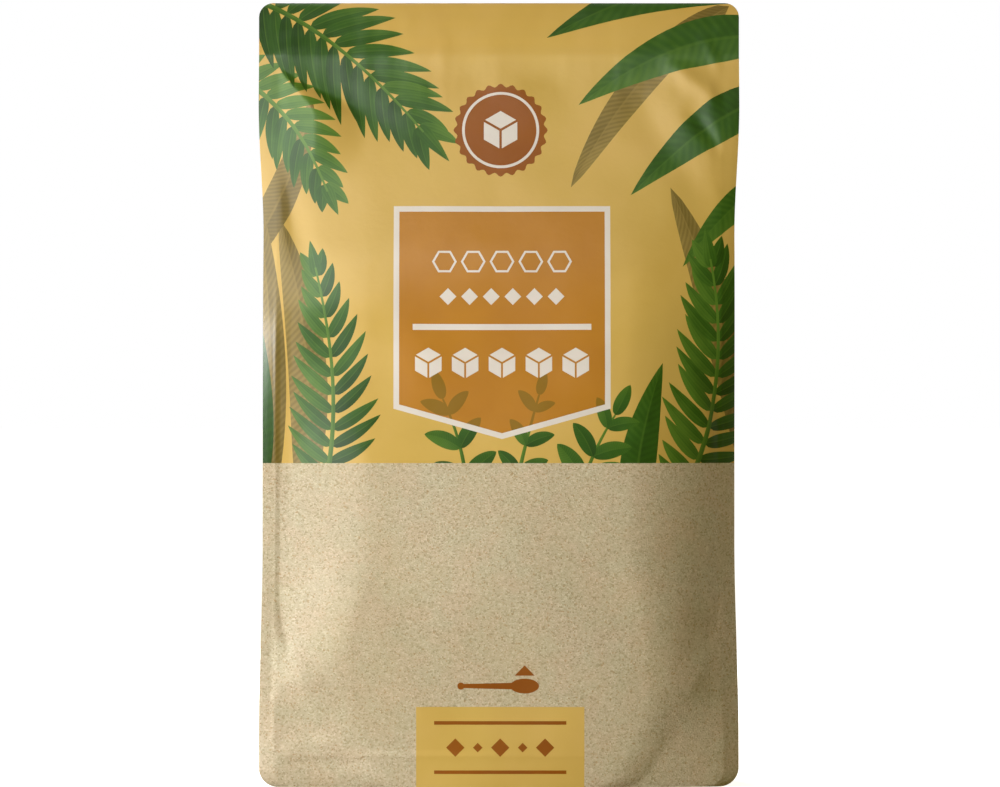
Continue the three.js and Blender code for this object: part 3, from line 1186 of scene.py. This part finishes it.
def bag():
    pieces = []
    for key, panel in PANELS.items():
        top = HEIGHT + (TOP_WRAP if panel["path"] is face_path else 0)
        stretches = (
            ("printed", SUGAR_LEVEL, top, panel["upper"], "gold", "printed_film"),
            ("sugar", 0, SUGAR_LEVEL, panel["lower"], "sugar", "sugar_film"),
        )
        for part, *what in stretches:
            pieces.append(film_panel(f"film_{key}_{part}", panel, *what))
    pieces.append(base_panel("film_base"))
    for piece in pieces:
        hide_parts("sugar_bag")


bag()

# ---- Floor, light and camera ----

PHOTO_WIDTH = 1000  # pixels
PHOTO_HEIGHT = 787
PHOTO_MIDDLE = 499  # the bag's middle line in the photograph
PIXELS_PER_MM = 4
CAMERA_DISTANCE = 3.0  # metres from the front edge seals
SENSOR = 36

FLOOR_REACH = 30.0  # metres
FLOOR_GLOW = (0.3, 1.5, 0.75, 1.05)  # from, to in metres, and the strength there

WORLD_RANGE = (-0.1, -0.9, 0.15, 0.25)  # from, to, darkest, brightest
WORLD_WARM = (1.0, 0.76, 0.0, 1.0)
WORLD_WARM_RANGE = (0.1, -0.5, 0, 1)  # from, to, and the share of white there


def floor():
    """A pale floor with an even glow that meets the white of the background."""
    nodes = material("pale_floor")
    colour = nodes.blend(nodes.noise(9, 3, 0.5), srgb(250, 250, 249), srgb(246, 246, 245))
    away = nodes.add("ShaderNodeVectorMath", {0: nodes.position}, operation="LENGTH")
    inputs = {
        "Base Color": colour,
        "Roughness": 0.7,
        "Emission Color": colour,
        "Emission Strength": nodes.range(away.outputs["Value"], *FLOOR_GLOW),
    }
    nodes.put(nodes.shader, inputs)
    mesh = bpy.data.meshes.new("floor")
    r = FLOOR_REACH
    mesh.from_pydata([(-r, -r, 0), (r, -r, 0), (r, r, 0), (-r, r, 0)], [], [(0, 1, 2, 3)])
    mesh.materials.append(nodes.owner)
    plane = placed("floor", mesh)
    plane.visible_diffuse = False
    plane.visible_glossy = False


def world_light():
    """White to the camera. On the bag it falls bright from the left, dim and warm elsewhere."""
    world = bpy.data.worlds.new("studio")
    nodes = Nodes(world, "World Output")
    across = nodes.add("ShaderNodeSeparateXYZ", {0: nodes.direction}).outputs["X"]
    level = nodes.range(across, *WORLD_RANGE, interpolation_type="SMOOTHSTEP")
    tint = nodes.blend(nodes.range(across, *WORLD_WARM_RANGE), WORLD_WARM, WHITE)
    light = nodes.add("ShaderNodeBackground", {"Color": tint, "Strength": level})
    seen = nodes.tree.nodes["Background"]
    nodes.put(seen, {"Color": WHITE})
    path = nodes.add("ShaderNodeLightPath")
    inputs = {0: path.outputs["Is Camera Ray"], 1: light.outputs[0], 2: seen.outputs[0]}
    mix = nodes.add("ShaderNodeMixShader", inputs)
    nodes.put(nodes.shader, {"Surface": mix.outputs[0]})
    bpy.context.scene.world = world


def soft_box(name, azimuth, elevation, distance, width, height, power, sheen_only=False):
    """A soft area light that faces the middle of the bag. Azimuth 0 is in front, 90 is right."""
    data = bpy.data.lights.new(name, "AREA")
    data.shape = "RECTANGLE"
    data.size, data.size_y, data.energy = width, height, power
    box = placed(name, data)
    a, e = math.radians(azimuth), math.radians(elevation)
    toward = Vector((math.sin(a) * math.cos(e), -math.cos(a) * math.cos(e), math.sin(e)))
    box.location = Vector((0, 0, HEIGHT * MM / 2)) + toward * distance
    box.rotation_euler = toward.to_track_quat("Z", "Y").to_euler()
    box.visible_camera = False
    box.visible_diffuse = not sheen_only


def camera():
    """Square on to the front from far away, with the photograph's framing."""
    data = bpy.data.cameras.new("camera")
    data.sensor_width = SENSOR
    data.sensor_fit = "HORIZONTAL"
    data.lens = SENSOR * CAMERA_DISTANCE / (PHOTO_WIDTH / PIXELS_PER_MM * MM)
    data.clip_start = 0.05
    eye = placed("camera", data)
    x = (PHOTO_WIDTH / 2 - PHOTO_MIDDLE) / PIXELS_PER_MM * MM
    z = PHOTO_HEIGHT / 2 / PIXELS_PER_MM * MM
    eye.location = (x, -GUSSET / 2 * MM - CAMERA_DISTANCE, z)
    eye.rotation_euler = (math.pi / 2, 0, 0)
    bpy.context.scene.camera = eye


floor()
world_light()
# azimuth and elevation in degrees, distance, width and height in metres, power in watts
soft_box("key", -43, 1, 0.8, 0.4, 0.5, 9.2)
soft_box("sheen_above", -42, 42, 0.8, 0.8, 0.5, 4.2, sheen_only=True)
soft_box("sheen_left", -68, 6, 0.8, 0.6, 0.6, 5.5, sheen_only=True)
soft_box("right", 122, 14, 1.3, 0.8, 0.8, 11)
soft_box("back", 200, 20, 1.5, 1.0, 0.8, 14)
camera()
bpy.context.scene.view_settings.view_transform = "Standard"
